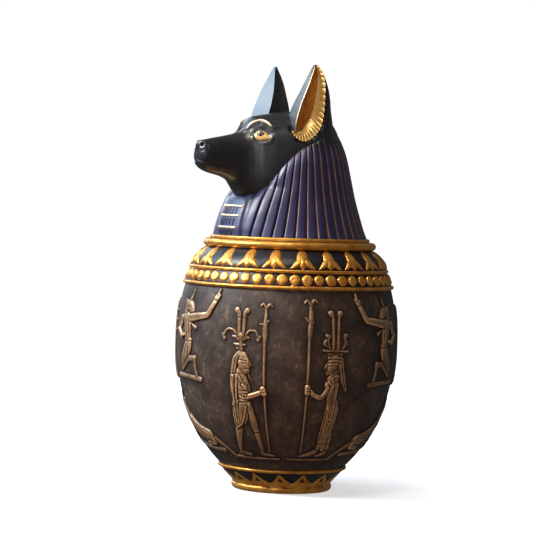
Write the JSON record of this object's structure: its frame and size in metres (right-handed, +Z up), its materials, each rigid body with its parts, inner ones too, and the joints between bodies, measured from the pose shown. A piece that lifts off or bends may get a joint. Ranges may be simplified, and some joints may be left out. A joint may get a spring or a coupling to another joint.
{
  "type": "canopic jar",
  "caption": "Hollow egg-shaped canopic jar with relief figures and gold bands, closed by a loose jackal-head lid with a striped wig.",
  "frame": {"origin": "centre of the flat underside", "axes": "+Z up along the vessel's axis, the jackal faces -Y, +X to the jackal's left"},
  "size_m": [0.157, 0.1559, 0.2975],
  "materials": {
    "bronze_resin": "satin, dark bronze paint with gold edges",
    "black_resin": "gloss black face, satin violet-blue wig"
  },
  "bodies": {
    "root": {"jar": "bronze_resin", "lid": "black_resin"}
  },
  "joints": []
}
